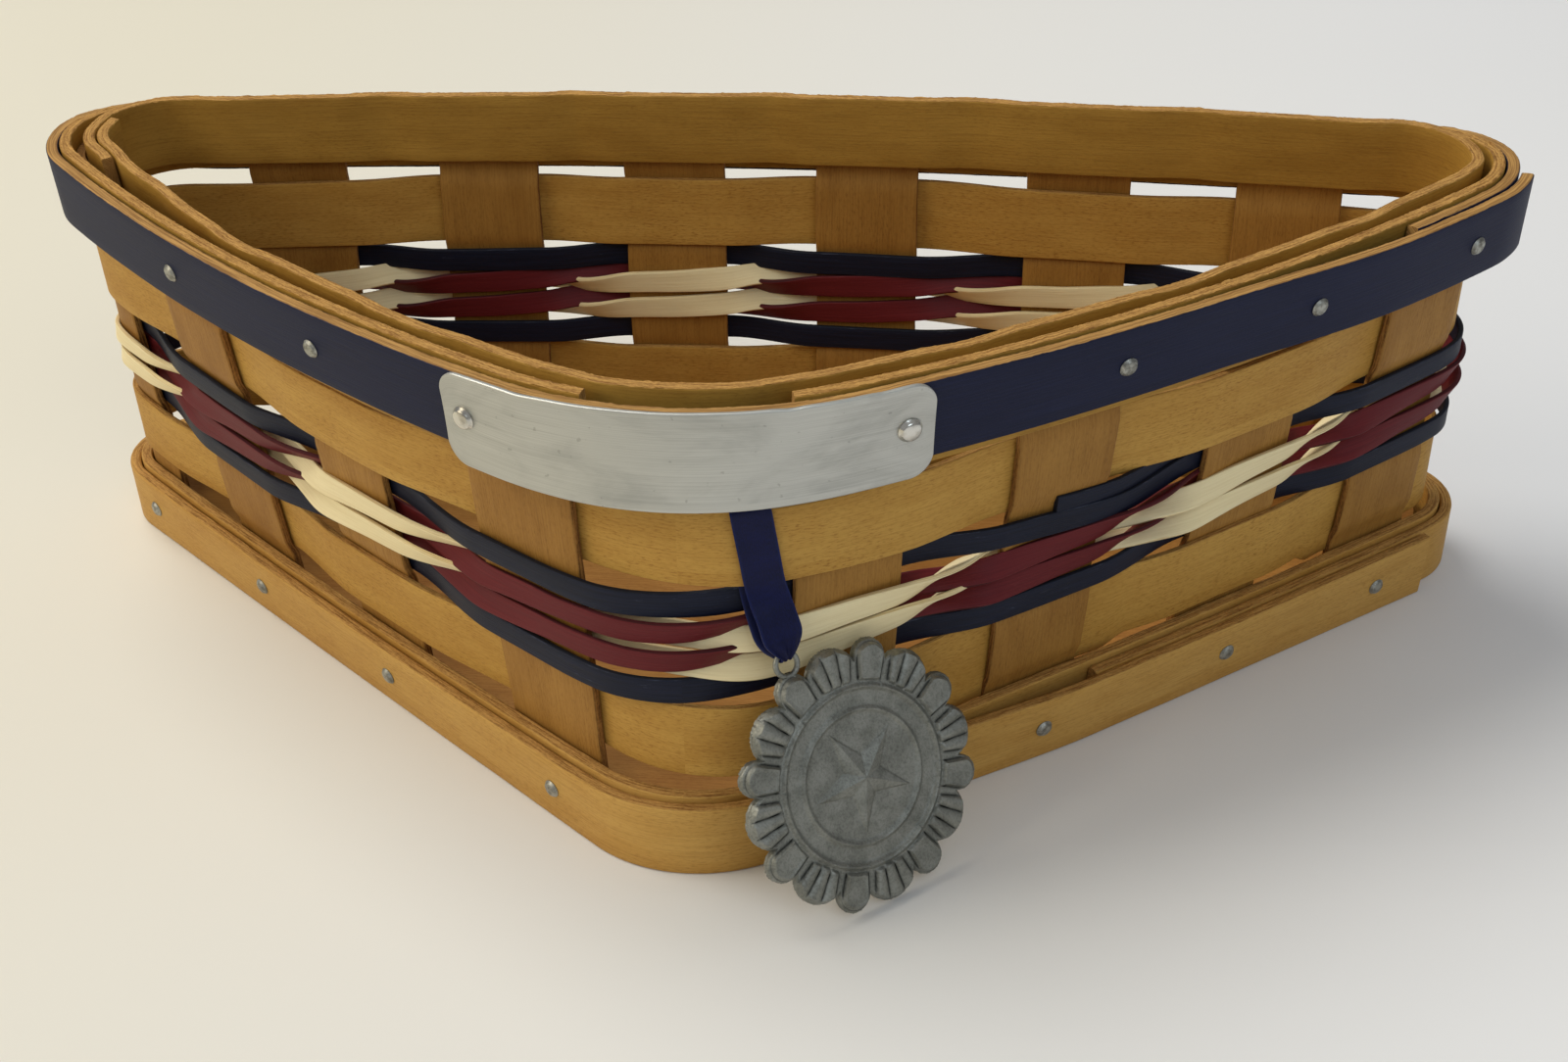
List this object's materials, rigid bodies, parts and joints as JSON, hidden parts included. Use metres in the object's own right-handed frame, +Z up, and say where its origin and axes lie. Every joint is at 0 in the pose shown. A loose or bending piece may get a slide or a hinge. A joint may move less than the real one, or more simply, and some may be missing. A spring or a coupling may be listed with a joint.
{
  "type": "woven splint basket",
  "caption": "Small three-sided basket woven of wood splints, with nailed rim and base bands, a blank bent metal tag and a cast medallion hanging on a ribbon.",
  "frame": {"origin": "on the underside of the base board, on the basket's middle plane, halfway between the front of the base and its back", "axes": "+Z up through the open top, +Y to the long back wall, +X to the right seen from the front corner"},
  "size_m": [0.2488, 0.1271, 0.0825],
  "materials": {
    "band_wood": "satin",
    "splint_wood": "satin",
    "board_wood": "matte",
    "navy_wood": "satin",
    "black_navy_strand": "satin",
    "red_strand": "satin",
    "cream_strand": "satin",
    "nail_steel": "satin",
    "tag_metal": "brushed",
    "pewter": "satin",
    "blue_satin": "satin"
  },
  "bodies": {
    "basket": {"upsplint_right_1": "splint_wood", "upsplint_right_2": "splint_wood", "upsplint_right_3": "splint_wood", "upsplint_right_4": "splint_wood", "upsplint_back_1": "splint_wood", "upsplint_back_2": "splint_wood", "upsplint_back_3": "splint_wood", "upsplint_back_4": "splint_wood", "upsplint_back_5": "splint_wood", "upsplint_back_6": "splint_wood", "upsplint_left_1": "splint_wood", "upsplint_left_2": "splint_wood", "upsplint_left_3": "splint_wood", "upsplint_left_4": "splint_wood", "weaver_wide_upper": "band_wood", "weaver_wide_lower": "band_wood", "weaver_navy_upper": "black_navy_strand", "weaver_navy_lower": "black_navy_strand", "weaver_cream_upper": "cream_strand", "weaver_red_upper": "red_strand", "weaver_cream_lower": "cream_strand", "weaver_red_lower": "red_strand", "rim_navy_strip": "navy_wood", "rim_outer_band": "band_wood", "rim_inner_band": "band_wood", "base_inner_strip": "band_wood", "base_outer_band": "band_wood", "base_board": "board_wood", "rim_nail_right_2": "nail_steel", "rim_nail_right_3": "nail_steel", "rim_nail_right_4": "nail_steel", "rim_nail_back_1": "nail_steel", "rim_nail_back_2": "nail_steel", "rim_nail_back_3": "nail_steel", "rim_nail_back_4": "nail_steel", "rim_nail_back_5": "nail_steel", "rim_nail_back_6": "nail_steel", "rim_nail_left_1": "nail_steel", "rim_nail_left_2": "nail_steel", "rim_nail_left_3": "nail_steel", "base_nail_right_1": "nail_steel", "base_nail_right_2": "nail_steel", "base_nail_right_3": "nail_steel", "base_nail_right_4": "nail_steel", "base_nail_back_1": "nail_steel", "base_nail_back_2": "nail_steel", "base_nail_back_3": "nail_steel", "base_nail_back_4": "nail_steel", "base_nail_back_5": "nail_steel", "base_nail_back_6": "nail_steel", "base_nail_left_1": "nail_steel", "base_nail_left_2": "nail_steel", "base_nail_left_3": "nail_steel", "base_nail_left_4": "nail_steel", "tag_rivet_right": "nail_steel", "tag_rivet_left": "nail_steel", "tag": "tag_metal", "ribbon_loop": "blue_satin"},
    "ribbon": {"ribbon_tails": "blue_satin"},
    "medallion": {"medallion": "pewter"}
  },
  "joints": [
    {"name": "ribbon_swing", "type": "hinge", "parent": "basket", "child": "ribbon", "pos_m": [0.00979, -0.05089, 0.04865], "axis": [-0.9612, -0.2757, 0], "range_deg": [0, 95]},
    {"name": "medallion_swing", "type": "hinge", "parent": "ribbon", "child": "medallion", "pos_m": [0.01274, -0.05349, 0.03971], "axis": [-0.7408, -0.6717, 0], "range_deg": [-8, 65]}
  ]
}
